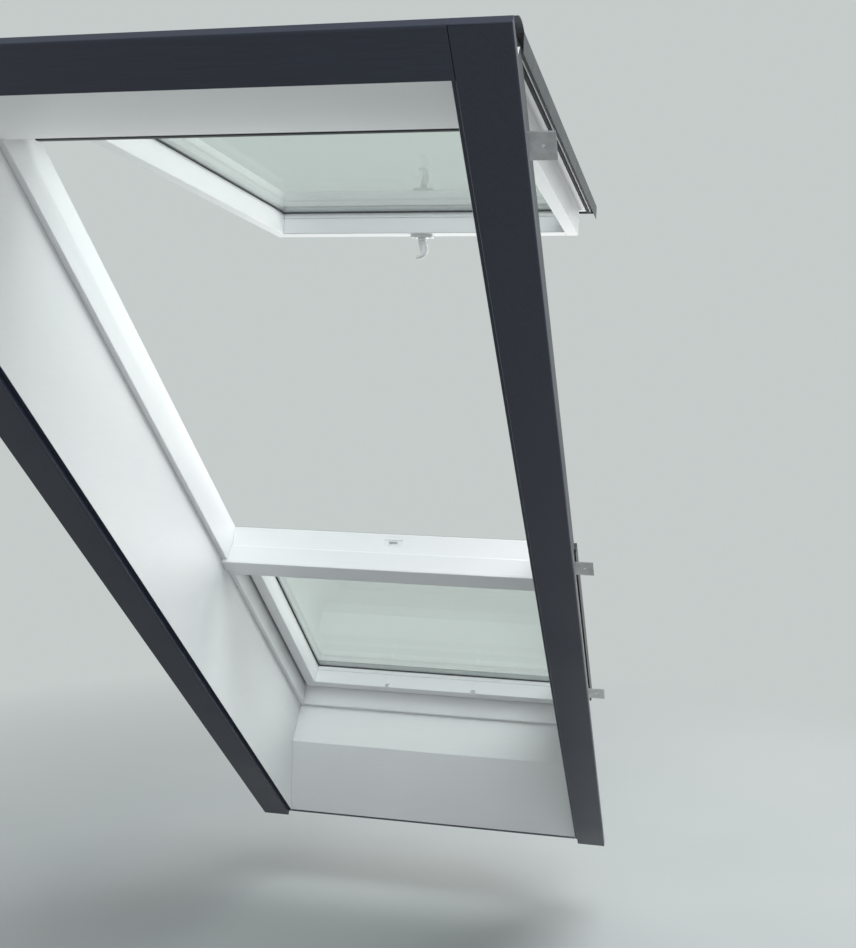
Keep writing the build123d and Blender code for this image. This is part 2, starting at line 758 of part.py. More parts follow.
# Hinges: a plate with a riveted pin in the jamb and an arm on the sash's stile
pin_end = sash_half - rivet_gap - rivet_height
arm_bend = upper_sash_top - arm_half
with BuildPart() as hinge_plates:
    for side, name in sides:
        plate_x = side * (lip_half - hinge_plate_proud)
        with BuildSketch(side_plane(roof, plate_x)):
            hinge_plate_outline()
        extrude(amount=-side * hinge_plate)
        with BuildSketch(side_plane(roof, plate_x)):
            with Locations((hinge_s, hinge_n)):
                Circle(pin_radius)
        extrude(amount=side * (abs(plate_x) - pin_end))
        with BuildSketch(side_plane(roof, side * (sash_half - rivet_gap))):
            with Locations((hinge_s, hinge_n)):
                Circle(rivet_radius)
        extrude(amount=side * rivet_height)
finish(hinge_plates, "hinge_plates")

knee = (arm_bend, sash_face + arm_depth)
arm_end = (arm_bend - arm_length, sash_face + arm_depth)
with BuildPart() as hinge_arms:
    for side, name in sides:
        for start, end in (((hinge_s, hinge_n), knee), (knee, arm_end)):
            with BuildSketch(side_plane(sash, side * sash_half)):
                with Locations(start, end):
                    Circle(arm_half)
                make_hull()
            extrude(amount=-side * arm_thickness)
        with BuildSketch(side_plane(sash, side * sash_half)):
            with Locations((hinge_s, hinge_n)):
                Circle(pin_radius + pin_clearance)
        extrude(amount=-side * arm_thickness, mode=Mode.SUBTRACT)
finish(hinge_arms, "hinge_arms")

# Ventilation flap above the sash, with its control bar and the two ears that carry it
bar_s = upper_sash_top + bar_rise
bar_half = sash_half - bar_gap
bar_low = bar_s - bar_reach
bar_front = bar_n - bar_drop
with BuildPart() as vent_bar:
    with BuildSketch(side_plane(sash)) as section:
        outline([(bar_s + bar_root, flap_level), (bar_s + bar_root, bar_n - bar_root),
                 (bar_low + bar_grip - bar_taper, bar_front), (bar_low, bar_front),
                 (bar_low, bar_front + bar_plate),
                 (bar_low + bar_grip - 2 * bar_taper, bar_front + bar_plate), (bar_s - bar_root, flap_level)])
        soften(section, [(bar_low, bar_front), (bar_low, bar_front + bar_plate)], bar_edge)
        soften(section, [(bar_low + bar_grip - bar_taper, bar_front)], bar_bend)
    extrude(amount=bar_half, both=True)
    with BuildSketch(sash.offset(bar_front)):
        with Locations((0, (bar_low + bar_s + bar_root) / 2)):
            RectangleRounded(2 * bar_half, bar_s + bar_root - bar_low, bar_end_round)
    extrude(amount=flap_level - bar_front, mode=Mode.INTERSECT)
    with BuildSketch(side_plane(sash)):
        with Locations((bar_s, bar_n)):
            Circle(bar_pin)
    extrude(amount=sash_half, both=True)
finish(vent_bar, "vent_bar")

with BuildPart() as vent_flap:
    with BuildSketch(side_plane(sash)) as section:
        outline([(bar_s - flap_half, flap_level), (bar_s + flap_half, flap_level), (bar_s + flap_half, flap_top),
                 (bar_s - flap_half, flap_top)])
        soften(section, [(bar_s - flap_half, flap_top), (bar_s + flap_half, flap_top)], flap_edge)
    extrude(amount=bar_half - ear_foot, both=True)
finish(vent_flap, "vent_flap")

with BuildPart() as bar_ears:
    for side, name in sides:
        with BuildSketch(side_plane(sash, side * (sash_half - ear_thickness))):
            outline([(upper_sash_top - ear_length, sash_face), (upper_sash_top - ear_length, sash_face - ear_wall),
                     (bar_s - ear_edge, bar_n - ear_wall), (bar_s + ear_wall, bar_n - ear_wall),
                     (bar_s + ear_wall, sash_face - ear_edge), (upper_sash_top, sash_face)])
            with Locations((bar_s, bar_n)):
                Circle(bar_pin + pin_clearance, mode=Mode.SUBTRACT)
        extrude(amount=-side * ear_thickness)
        with BuildSketch(side_plane(sash, side * (sash_half - ear_foot))):
            foot_low, foot_high = upper_sash_top - ear_length, upper_sash_top - ear_step
            outline([(foot_low, sash_face), (foot_low, sash_face - ear_thickness),
                     (foot_high, sash_face - ear_thickness), (foot_high, sash_face)])
        extrude(amount=-side * ear_foot)
finish(bar_ears, "vent_bar_ears")

# Handle on the bottom rail: plate, hooked lever with its square spindle
with BuildPart() as handle_plate:
    with BuildSketch(sash.offset(sash_face - handle_plate_thickness)):
        with Locations((0, handle_s)):
            RectangleRounded(handle_plate_width, handle_plate_height, handle_plate_corner)
            Circle(spindle_hole, mode=Mode.SUBTRACT)
    extrude(amount=handle_plate_thickness)
    room_face = handle_plate.faces().sort_by(Axis(sash.origin, sash.z_dir))[0]
    chamfer(room_face.outer_wire().edges(), handle_plate_edge)
finish(handle_plate, "handle_plate")

hub_room = sash_face - handle_plate_thickness
hub_top = hub_room - hub_height
lever_points = [
    (-lever_root, -lever_sink),
    (lever_root, -lever_sink),
    (lever_lean, lever_bend),
    (lever_hook / 2, lever_height - lever_nose / 4),
    (-0.8 * lever_hook, lever_height),
    (-lever_hook, lever_height - lever_nose),
    (lever_lean - lever_stem, lever_bend),
]
lever_rounds = (lever_round, lever_round, hook_round, hook_round, lever_round)
with BuildPart() as handle_lever:
    with BuildSketch(sash.offset(hub_room)):
        with Locations((0, handle_s)):
            Circle(hub_radius)
    extrude(amount=-hub_height)
    with BuildSketch(end_plane(sash, handle_s)) as section:
        outline([(x, hub_top - w) for x, w in lever_points])
        for (x, w), radius in zip(lever_points[2:], lever_rounds):
            soften(section, [(x, hub_top - w)], radius)
    extrude(amount=lever_thickness / 2, both=True)
    with BuildSketch(sash.offset(hub_room)):
        with Locations((0, handle_s)):
            Rectangle(spindle_side, spindle_side)
    extrude(amount=bolt_depth - case_half + spindle_end - hub_room)
finish(handle_lever, "handle_lever")

# Lock: case in the rail, sliding bolt, strike plate on the frame
bolt_low = upper_sash_bottom + bolt_set_in
with BuildPart() as lock_case:
    with BuildSketch(side_plane(sash)):
        outline([(case_low, bolt_depth - case_half), (case_high, bolt_depth - case_half),
                 (case_high, bolt_depth + case_half), (case_low, bolt_depth + case_half)])
    extrude(amount=case_width / 2, both=True)
    with BuildSketch(side_plane(sash)):
        half = bolt_thickness / 2 + bolt_clearance
        channel_end = bolt_low + bolt_length + bolt_clearance
        outline([(case_low - 1, bolt_depth - half), (channel_end, bolt_depth - half),
                 (channel_end, bolt_depth + half), (case_low - 1, bolt_depth + half)])
    extrude(amount=bolt_width / 2 + bolt_clearance, both=True, mode=Mode.SUBTRACT)
    with BuildSketch(sash.offset(bolt_depth - case_half)):
        with Locations((0, handle_s)):
            Circle(spindle_hole)
    extrude(amount=case_wall - bolt_set_in, mode=Mode.SUBTRACT)
finish(lock_case, "lock_case")

with BuildPart() as lock_bolt:
    with BuildSketch(side_plane(sash)):
        half = bolt_thickness / 2
        outline([(bolt_low, bolt_depth - half), (bolt_low + bolt_length, bolt_depth - half),
                 (bolt_low + bolt_length, bolt_depth + half), (bolt_low, bolt_depth + half)])
    extrude(amount=bolt_width / 2, both=True)
    nose = lock_bolt.faces().sort_by(Axis(sash.origin, sash.y_dir))[0]
    chamfer(nose.edges(), bolt_chamfer)
finish(lock_bolt, "lock_bolt")

with BuildPart() as strike_plate:
    with BuildSketch(side_plane(roof)):
        outline([(strike_seat, bolt_depth - case_half), (strike_seat + strike_thickness, bolt_depth - case_half),
                 (strike_seat + strike_thickness, bolt_depth + case_half), (strike_seat, bolt_depth + case_half)])
    extrude(amount=strike_width / 2, both=True)
    with BuildSketch(side_plane(roof)):
        half = bolt_thickness / 2 + pocket_clearance
        outline([(strike_seat - 1, bolt_depth - half), (strike_seat + strike_thickness + 1, bolt_depth - half),
                 (strike_seat + strike_thickness + 1, bolt_depth + half), (strike_seat - 1, bolt_depth + half)])
    extrude(amount=bolt_width / 2 + pocket_clearance, both=True, mode=Mode.SUBTRACT)
finish(strike_plate, "strike_plate")

# Fixing brackets: angles screwed to the jambs, their feet lie on the roof battens
with BuildPart() as brackets:
    for place in bracket_places:
        for side, name in sides:
            with BuildSketch(end_plane(roof, place - bracket_width / 2)):
                outline([(side * x, n) for x, n in (
                    (frame_half, foot_n - bracket_leg), (frame_half, foot_n),
                    (frame_half + bracket_foot, foot_n), (frame_half + bracket_foot, foot_n - bracket_sheet),
                    (frame_half + bracket_sheet, foot_n - bracket_sheet),
                    (frame_half + bracket_sheet, foot_n - bracket_leg))])
            extrude(amount=bracket_width)
            hole_x = side * (frame_half + bracket_foot * 0.6)
            with BuildSketch(roof.offset(foot_n + bracket_sheet / 2)):
                with Locations((-hole_x, place)):
                    Circle(bracket_hole)
            extrude(amount=-2 * bracket_sheet, mode=Mode.SUBTRACT)
    for side, name in sides:
        with BuildSketch(side_plane(roof, side * frame_half)):
            with Locations(*screw_rows(lower_frame_bottom, frame_top)):
                Circle(screw_radius + pin_clearance)
        extrude(amount=-side * bracket_sheet, mode=Mode.SUBTRACT)
finish(brackets, "fixing_brackets")

with BuildPart() as bracket_screws:
    for side, name in sides:
        head_seat = side_plane(roof, side * (frame_half + bracket_sheet))
        with BuildSketch(head_seat):
            with Locations(*screw_rows(lower_frame_bottom, frame_top)):
                RegularPolygon(radius=screw_head, side_count=6)
        extrude(amount=-side * screw_head_height)
        with BuildSketch(head_seat):
            with Locations(*screw_rows(lower_frame_bottom, frame_top)):
                Circle(screw_radius)
        extrude(amount=side * screw_length)
finish(bracket_screws, "bracket_screws")
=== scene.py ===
import json
from math import cos, radians, sin

import bmesh
import bpy
from mathutils import Matrix, Quaternion, Vector


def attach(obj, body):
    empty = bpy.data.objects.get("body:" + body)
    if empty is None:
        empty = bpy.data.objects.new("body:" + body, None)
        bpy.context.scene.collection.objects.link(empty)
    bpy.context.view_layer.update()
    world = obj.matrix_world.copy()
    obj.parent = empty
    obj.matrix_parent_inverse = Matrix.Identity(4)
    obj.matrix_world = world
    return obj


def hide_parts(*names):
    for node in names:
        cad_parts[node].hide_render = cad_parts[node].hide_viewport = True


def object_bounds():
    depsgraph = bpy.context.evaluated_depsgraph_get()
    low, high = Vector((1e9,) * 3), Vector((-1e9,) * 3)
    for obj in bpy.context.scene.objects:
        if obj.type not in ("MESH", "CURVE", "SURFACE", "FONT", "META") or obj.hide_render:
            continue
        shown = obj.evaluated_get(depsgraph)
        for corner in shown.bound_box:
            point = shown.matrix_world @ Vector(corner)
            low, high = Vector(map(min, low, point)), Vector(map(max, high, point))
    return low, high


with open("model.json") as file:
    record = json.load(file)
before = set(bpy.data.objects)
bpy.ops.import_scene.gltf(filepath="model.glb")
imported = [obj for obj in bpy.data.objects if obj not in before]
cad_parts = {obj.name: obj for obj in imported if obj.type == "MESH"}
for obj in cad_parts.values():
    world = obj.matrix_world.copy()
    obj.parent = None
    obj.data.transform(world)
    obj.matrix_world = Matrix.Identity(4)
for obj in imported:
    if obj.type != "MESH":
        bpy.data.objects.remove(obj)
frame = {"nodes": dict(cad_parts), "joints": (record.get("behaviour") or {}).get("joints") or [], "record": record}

cad_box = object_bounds()

# The window's own measures, in metres and radians
MM = 0.001
SIDES = (-1, 1)
ROOF_PITCH = radians(38.5)
SASH_PITCH = radians(1.6)
HINGE = Vector(next(j for j in frame["joints"] if j["name"] == "sash_swing")["pos_m"])
HINGE_S, HINGE_N = 2.461953, 0.340
LIP_HALF = 0.4379
HINGE_PLATE_PROUD = 0.003
SASH_HALF = 0.4311
SASH_FACE = 0.348
SASH_TOP = 2.377315
ARM_THICKNESS = 0.003
ARM_S, ARM_N = SASH_TOP - 0.013, SASH_FACE + 0.026
EAR_THICKNESS = 0.0025
HANDLE_S = 1.046453
PLATE_ROOM = 0.339
HUB_TOP = 0.331
STRIKE_S = 1.011453
BOLT_N = 0.3785


class Slope:
    """Places on a slope that turns about the hinge: the roof's own slope, or the open sash's. s runs up the slope
    and n square to it, outwards, both from the lower edge of the apron board when the window is closed"""

    def __init__(self, pitch):
        self.up = Vector((0.0, -cos(pitch), sin(pitch)))
        self.out = Vector((0.0, sin(pitch), cos(pitch)))

    def at(self, x, s, n):
        return Vector((x, 0, 0)) + HINGE + self.up * (s - HINGE_S) + self.out * (n - HINGE_N)

    def facing(self, x, s, n, across, along, away):
        """Matrix of a place whose local X, Y and Z run the given ways"""
        return Matrix.Translation(self.at(x, s, n)) @ Matrix((across, along, away)).transposed().to_4x4()

    def room(self, x, s, n):
        """A place that faces the room"""
        return self.facing(x, s, n, Vector((1, 0, 0)), self.up, -self.out)

    def sideways(self, x, s, n, side):
        """A place that faces the left or the right jamb"""
        return self.facing(x, s, n, self.up * -side, self.out, Vector((side, 0, 0)))

    def upwards(self, x, s, n):
        """A place that faces up the slope"""
        return self.facing(x, s, n, Vector((1, 0, 0)), self.out * -1, self.up)


roof, sash = Slope(ROOF_PITCH), Slope(SASH_PITCH)

# Colours, and how far a board's grain is stretched along or across the window
WHITE = (0.82, 0.82, 0.82)
LINING_WHITE = (0.80, 0.80, 0.795)
CASING_BLUE = (0.019, 0.024, 0.043)
# Paler blue for the casing's arrises: rubbed paint and a painted highlight
CASING_RUBBED_AND_HIGHLIGHT = (0.075, 0.085, 0.12)
# Primer tone for backs and outer sides; on the frame's outer sides it is painted shade
PRIMER_AND_SHADE = (0.60, 0.585, 0.55)
CLEAR_SHADOW = (0.968, 0.980, 0.975)
BACKGROUND = (0.56, 0.60, 0.59)
ALONG, ACROSS = (40, 2.5, 40), (2.5, 40, 40)
CASING_ALONG, CASING_ACROSS = (55, 2.0, 55), (2.0, 55, 55)
OUTER_SIDES = "outer sides"


def shade(colour, factor):
    """A colour made darker or lighter"""
    return tuple(min(1.0, c * factor) for c in colour)


def spread(colour, darker, lighter, start=0.3, end=0.7):
    """Ramp stops from a darker to a lighter shade of one colour"""
    return (start, shade(colour, darker)), (end, shade(colour, lighter))


# Parts of a finish
def start_finish(name):
    """A new finish with its node tree and its main shader"""
    finish = bpy.data.materials.new(name)
    finish.use_nodes = True
    tree = finish.node_tree
    tree.nodes.clear()
    output = tree.nodes.new("ShaderNodeOutputMaterial")
    shader = tree.nodes.new("ShaderNodeBsdfPrincipled")
    tree.links.new(shader.outputs["BSDF"], output.inputs["Surface"])
    return finish, tree, shader


def place_of(tree, stretch=(1, 1, 1), turn=0.0):
    """Object coordinates, turned about X and stretched"""
    where = tree.nodes.new("ShaderNodeTexCoord")
    mapping = tree.nodes.new("ShaderNodeMapping")
    mapping.inputs["Rotation"].default_value = (turn, 0, 0)
    mapping.inputs["Scale"].default_value = stretch
    tree.links.new(where.outputs["Object"], mapping.inputs["Vector"])
    return mapping.outputs["Vector"]


def noise_of(tree, place, scale, detail=3.0):
    """Cloudy noise from 0 to 1"""
    noise = tree.nodes.new("ShaderNodeTexNoise")
    noise.inputs["Scale"].default_value = scale
    noise.inputs["Detail"].default_value = detail
    noise.inputs["Roughness"].default_value = 0.55
    tree.links.new(place, noise.inputs["Vector"])
    return noise.outputs["Fac"]


def ramp_of(tree, value, stops):
    """Colour between two stops, each a position and a colour"""
    ramp = tree.nodes.new("ShaderNodeValToRGB")
    for element, (position, colour) in zip(ramp.color_ramp.elements, stops):
        element.position, element.color = position, (*colour, 1)
    tree.links.new(value, ramp.inputs["Fac"])
    return ramp.outputs["Color"]


def range_of(tree, value, low, high, start=0.3, end=0.7):
    """Number from low to high while the value runs from start to end"""
    span = tree.nodes.new("ShaderNodeMapRange")
    for key, number in (("From Min", start), ("From Max", end), ("To Min", low), ("To Max", high)):
        span.inputs[key].default_value = number
    tree.links.new(value, span.inputs["Value"])
    return span.outputs["Result"]


def mix_of(tree, first, second, factor=1.0, blend="MIX"):
    """Mix of two colours; the second and the factor may be given as plain values"""
    mix = tree.nodes.new("ShaderNodeMix")
    mix.data_type, mix.blend_type = "RGBA", blend
    tree.links.new(first, mix.inputs["A"])
    for given, socket in ((second, mix.inputs["B"]), (factor, mix.inputs["Factor"])):
        if isinstance(given, bpy.types.NodeSocket):
            tree.links.new(given, socket)
        else:
            socket.default_value = given if isinstance(given, float) else (*given, 1)
    return mix.outputs["Result"]


def times_of(tree, value, factor, added=None):
    """The value times a plain factor, plus another value"""
    sums = tree.nodes.new("ShaderNodeMath")
    sums.operation = "MULTIPLY_ADD"
    tree.links.new(value, sums.inputs[0])
    sums.inputs[1].default_value = factor
    sums.inputs[2].default_value = 0.0
    if added:
        tree.links.new(added, sums.inputs[2])
    return sums.outputs[0]


def bump_of(tree, shader, height, distance):
    """Give the surface relief, as deep as the distance"""
    bump = tree.nodes.new("ShaderNodeBump")
    bump.inputs["Strength"].default_value = 1.0
    bump.inputs["Distance"].default_value = distance
    tree.links.new(height, bump.inputs["Height"])
    tree.links.new(bump.outputs["Normal"], shader.inputs["Normal"])


def facing_of(tree, direction, start, end):
    """1 where the surface faces the given way, 0 elsewhere"""
    normal = tree.nodes.new("ShaderNodeNewGeometry")
    facing = tree.nodes.new("ShaderNodeVectorMath")
    facing.operation = "DOT_PRODUCT"
    facing.inputs[1].default_value = tuple(direction)
    tree.links.new(normal.outputs["True Normal"], facing.inputs[0])
    return range_of(tree, facing.outputs["Value"], 0.0, 1.0, start, end)


def outer_sides_of(tree):
    """1 where a side board faces away from the middle of the window, 0 elsewhere"""
    normal = tree.nodes.new("ShaderNodeNewGeometry")
    away = tree.nodes.new("ShaderNodeVectorMath")
    away.operation = "MULTIPLY"
    tree.links.new(normal.outputs["True Normal"], away.inputs[0])
    tree.links.new(place_of(tree), away.inputs[1])
    parts = tree.nodes.new("ShaderNodeSeparateXYZ")
    tree.links.new(away.outputs["Vector"], parts.inputs[0])
    return range_of(tree, parts.outputs["X"], 0.0, 1.0, start=0.30, end=0.36)


def arris_of(tree, radius):
    """1 on the arrises, 0 on the flats; the colour laid there is rubbed paint, and on the casing also a painted
    highlight
    """
    rounded = tree.nodes.new("ShaderNodeBevel")
    rounded.samples = 3
    rounded.inputs["Radius"].default_value = radius
    normal = tree.nodes.new("ShaderNodeNewGeometry")
    alike = tree.nodes.new("ShaderNodeVectorMath")
    alike.operation = "DOT_PRODUCT"
    tree.links.new(rounded.outputs["Normal"], alike.inputs[0])
    tree.links.new(normal.outputs["Normal"], alike.inputs[1])
    return range_of(tree, alike.outputs["Value"], 1.0, 0.0, start=0.86, end=0.995)


def joint_shade_and_dust_of(tree, reach):
    """1 deep in a joint or inner corner, where shade falls and dust collects, 0 on open surfaces: the darkening
    laid there is painted shade as well as dust
    """
    hidden = tree.nodes.new("ShaderNodeAmbientOcclusion")
    hidden.samples = 3
    hidden.inputs["Distance"].default_value = reach
    return range_of(tree, hidden.outputs["AO"], 1.0, 0.0, start=0.25, end=0.62)


def shown_of(tree):
    """1 for what the camera sees, straight, mirrored or through glass, and 0 for the light on the window"""
    path = tree.nodes.new("ShaderNodeLightPath")
    shown = path.outputs["Is Camera Ray"]
    for ray in ("Is Glossy Ray", "Is Transmission Ray"):
        most = tree.nodes.new("ShaderNodeMath")
        most.operation = "MAXIMUM"
        tree.links.new(shown, most.inputs[0])
        tree.links.new(path.outputs[ray], most.inputs[1])
        shown = most.outputs[0]
    return shown


def choose_shader(tree, factor, shader, other):
    """The other shader takes the surface where the factor is 1"""
    choice = tree.nodes.new("ShaderNodeMixShader")
    tree.links.new(factor, choice.inputs[0])
    tree.links.new(shader.outputs[0], choice.inputs[1])
    tree.links.new(other.outputs[0], choice.inputs[2])
    output = next(node for node in tree.nodes if node.bl_idname.startswith("ShaderNodeOutput"))
    tree.links.new(choice.outputs[0], output.inputs["Surface"])


# Finishes of the window
def painted_board(name, colour, rough, grain=ALONG, turn=ROOF_PITCH, depth=0.00005, contrast=0.03, coat=0.0,
                  arris_colour=None, edge_colour=None, back=None):
    """Brushed or rolled paint on a board: its grain just shows, and its back and long edge may differ"""
    finish, tree, shader = start_finish(name)
    streaks = noise_of(tree, place_of(tree, grain, turn), scale=6.0, detail=4.0)
    cloud = noise_of(tree, place_of(tree), scale=3.5, detail=2.0)
    stipple = noise_of(tree, place_of(tree), scale=750.0, detail=2.0)
    base = ramp_of(tree, streaks, spread(colour, 1 - contrast, 1 + contrast, start=0.25, end=0.75))
    tint = ramp_of(tree, cloud, ((0.3, (0.965, 0.97, 0.98)), (0.7, (1.0, 1.0, 1.0))))
    base = mix_of(tree, base, tint, blend="MULTIPLY")
    # The arrises take the given colour: rubbed paint, and on the casing a painted highlight too
    if arris_colour:
        base = mix_of(tree, base, arris_colour, times_of(tree, arris_of(tree, radius=0.0016), factor=0.55))
    # Painted shade, with some dust, darkens the joints and inner corners that ambient occlusion finds
    base = mix_of(tree, base, shade(colour, 0.35), times_of(tree, joint_shade_and_dust_of(tree, reach=0.0045), factor=0.42))
    if edge_colour:
        base = mix_of(tree, base, edge_colour, facing_of(tree, -roof.out, start=0.9, end=0.97))
    # Backs and outer sides take a primer tone; on the frame's outer sides this darker tone is painted shade
    # against the lamp
    if back:
        fibres = ramp_of(tree, noise_of(tree, place_of(tree), scale=420.0, detail=4.0), spread(PRIMER_AND_SHADE, 0.9, 1.0))
        hidden = outer_sides_of(tree) if back == OUTER_SIDES else facing_of(tree, back, start=0.55, end=0.65)
        base = mix_of(tree, base, fibres, hidden)
    tree.links.new(base, shader.inputs["Base Color"])
    tree.links.new(range_of(tree, cloud, rough - 0.05, rough + 0.06), shader.inputs["Roughness"])
    bump_of(tree, shader, times_of(tree, stipple, 0.4, streaks), depth)
    if coat:
        shader.inputs["Coat Weight"].default_value = coat
        shader.inputs["Coat Roughness"].default_value = 0.2
    return finish


def lacquered(name, rough, grain, turn, back=None):
    """White lacquer on the members of frame and sash"""
    return painted_board(name, WHITE, rough, grain, turn, depth=0.00003, contrast=0.008, coat=0.25, back=back)


def plated_metal(name, colour, rough, scale=60.0):
    """Zinc plated or mill metal with a cloudy, slightly crystalline surface"""
    finish, tree, shader = start_finish(name)
    cells = tree.nodes.new("ShaderNodeTexVoronoi")
    cells.inputs["Scale"].default_value = scale * 6
    tree.links.new(place_of(tree), cells.inputs["Vector"])
    cloud = noise_of(tree, place_of(tree), scale)
    base = ramp_of(tree, cloud, spread(colour, 0.86, 1.06))
    # Painted shade, with some dirt, darkens the metal in its recesses and where it meets other parts
    base = mix_of(tree, base, shade(colour, 0.35), times_of(tree, joint_shade_and_dust_of(tree, reach=0.003), factor=0.5))
    tree.links.new(base, shader.inputs["Base Color"])
    tree.links.new(range_of(tree, cells.outputs["Distance"], rough - 0.06, rough + 0.08, start=0.0, end=0.6),
                   shader.inputs["Roughness"])
    shader.inputs["Metallic"].default_value = 1.0
    bump_of(tree, shader, cloud, 0.00006)
    return finish


def drawn_metal(name, colour, rough, metallic):
    """Extruded metal with fine drawing lines across the window"""
    finish, tree, shader = start_finish(name)
    lines = noise_of(tree, place_of(tree, (1.5, 900, 900)), scale=1.0)
    cloud = noise_of(tree, place_of(tree), scale=9.0, detail=2.0)
    tree.links.new(ramp_of(tree, cloud, spread(colour, 0.9, 1.08)), shader.inputs["Base Color"])
    tree.links.new(range_of(tree, lines, rough - 0.07, rough + 0.09), shader.inputs["Roughness"])
    shader.inputs["Metallic"].default_value = metallic
    bump_of(tree, shader, lines, 0.00004)
    return finish


def powder_coat(name, colour, rough, depth=0.00004, metallic=0.0, scale=1400.0, coat=0.0, arris_colour=None):
    """Sprayed coat with a fine orange peel, thin on its arrises"""
    finish, tree, shader = start_finish(name)
    peel = noise_of(tree, place_of(tree), scale, detail=2.0)
    cloud = noise_of(tree, place_of(tree), scale=18.0)
    base = ramp_of(tree, cloud, spread(colour, 0.955, 1.02))
    if arris_colour:
        base = mix_of(tree, base, arris_colour, times_of(tree, arris_of(tree, radius=0.0008), factor=0.5))
    tree.links.new(base, shader.inputs["Base Color"])
    tree.links.new(range_of(tree, cloud, rough - 0.04, rough + 0.06), shader.inputs["Roughness"])
    shader.inputs["Metallic"].default_value = metallic
    if coat:
        shader.inputs["Coat Weight"].default_value = coat
        shader.inputs["Coat Roughness"].default_value = 0.15
    bump_of(tree, shader, peel, depth)
    return finish


def soft_rubber(name, colour):
    """Rubber with fine ribs and a little pale dust"""
    finish, tree, shader = start_finish(name)
    dust = noise_of(tree, place_of(tree), scale=35.0, detail=5.0)
    ribs = tree.nodes.new("ShaderNodeTexWave")
    ribs.inputs["Scale"].default_value = 160.0
    ribs.bands_direction = "Z"
    tree.links.new(place_of(tree, turn=ROOF_PITCH), ribs.inputs["Vector"])
    tree.links.new(ramp_of(tree, dust, spread(colour, 1.0, 1.7, end=0.75)), shader.inputs["Base Color"])
    tree.links.new(range_of(tree, dust, 0.55, 0.75), shader.inputs["Roughness"])
    bump_of(tree, shader, ribs.outputs["Fac"], 0.0003)
    return finish


def spacer_metal(name, colour):
    """Mill aluminium with the row of small holes that a pane spacer has"""
    finish, tree, shader = start_finish(name)
    holes = tree.nodes.new("ShaderNodeTexVoronoi")
    holes.inputs["Scale"].default_value = 220.0
    holes.inputs["Randomness"].default_value = 0.0
    tree.links.new(place_of(tree), holes.inputs["Vector"])
    tree.links.new(ramp_of(tree, holes.outputs["Distance"], spread(colour, 0.25, 1.0, start=0.08, end=0.16)),
                   shader.inputs["Base Color"])
    cloud = noise_of(tree, place_of(tree), scale=90.0)
    tree.links.new(range_of(tree, cloud, 0.3, 0.45), shader.inputs["Roughness"])
    shader.inputs["Metallic"].default_value = 1.0
    return finish


def window_glass(name, colour):
    """Coated glass, faintly green, with the trace of dried rain and wiping; lamps reach through it"""
    finish, tree, shader = start_finish(name)
    wipe = noise_of(tree, place_of(tree, (9, 2, 2), 0.4), scale=3.0, detail=5.0)
    tree.links.new(ramp_of(tree, wipe, spread(colour, 1.0, 1.006)), shader.inputs["Base Color"])
    tree.links.new(range_of(tree, wipe, 0.006, 0.012, start=0.4, end=0.8), shader.inputs["Roughness"])
    shader.inputs["IOR"].default_value = 1.5
    shader.inputs["Transmission Weight"].default_value = 1.0
    path = tree.nodes.new("ShaderNodeLightPath")
    clear = tree.nodes.new("ShaderNodeBsdfTransparent")
    clear.inputs["Color"].default_value = (*CLEAR_SHADOW, 1)
    choose_shader(tree, path.outputs["Is Shadow Ray"], shader, clear)
    return finish


# The casing's arrises turn paler: rubbed paint and a painted highlight
casing_paint = painted_board("casing_blue_grey_paint", CASING_BLUE, 0.36, CASING_ALONG, contrast=0.16,
                             depth=0.0001, arris_colour=CASING_RUBBED_AND_HIGHLIGHT)
head_casing_paint = painted_board("head_casing_blue_grey_paint", CASING_BLUE, 0.36, CASING_ACROSS, contrast=0.16,
                                  depth=0.0001, arris_colour=CASING_RUBBED_AND_HIGHLIGHT)
lining_paint = painted_board("lining_white_paint", LINING_WHITE, 0.42, contrast=0.012,
                             edge_colour=shade(CASING_BLUE, 1.15), back=OUTER_SIDES)
head_lining_paint = painted_board("head_lining_white_paint", LINING_WHITE, 0.42, ACROSS, contrast=0.012,
                                  edge_colour=shade(CASING_BLUE, 1.15), back=roof.up * 0.69 + roof.out * 0.72)
sill_paint = painted_board("sill_white_paint", LINING_WHITE, 0.4, ACROSS, contrast=0.012, back=-roof.up)
apron_paint = painted_board("apron_white_paint", LINING_WHITE, 0.42, ACROSS, contrast=0.014,
                            edge_colour=shade(CASING_BLUE, 1.3), back=Vector((0, 1, 0)))
# The frame's outer sides are darker than its lacquer: painted shade that holds back the lamp on them, shown as
# primer
frame_lacquer = lacquered("frame_white_lacquer", 0.35, ALONG, ROOF_PITCH, back=OUTER_SIDES)
rail_lacquer = lacquered("rail_white_lacquer", 0.35, ACROSS, ROOF_PITCH)
sash_lacquer = lacquered("sash_white_lacquer", 0.34, ALONG, SASH_PITCH)
sash_rail_lacquer = lacquered("sash_rail_white_lacquer", 0.34, ACROSS, SASH_PITCH)
handle_paint = powder_coat("handle_white_coat", (0.83, 0.83, 0.83), 0.33, coat=0.3, arris_colour=(0.66, 0.66, 0.66))
ear_plastic = powder_coat("ear_white_plastic", (0.78, 0.78, 0.77), 0.38, scale=700.0)
hook_plastic = powder_coat("hook_white_plastic", (0.8, 0.8, 0.79), 0.35, scale=900.0)
strike_paint = powder_coat("strike_white_coat", (0.8, 0.8, 0.8), 0.35, scale=900.0)
cover_sheet = powder_coat("cover_dark_grey_lacquer", (0.055, 0.06, 0.066), 0.42, metallic=0.2, depth=0.00005,
                          arris_colour=(0.13, 0.135, 0.14))
zinc_steel = plated_metal("zinc_plated_steel", (0.56, 0.57, 0.58), 0.34)
screw_steel = plated_metal("screw_bright_steel", (0.66, 0.66, 0.65), 0.26, scale=140.0)
bar_metal = drawn_metal("bar_dark_anodised", (0.05, 0.05, 0.055), 0.38, metallic=0.8)
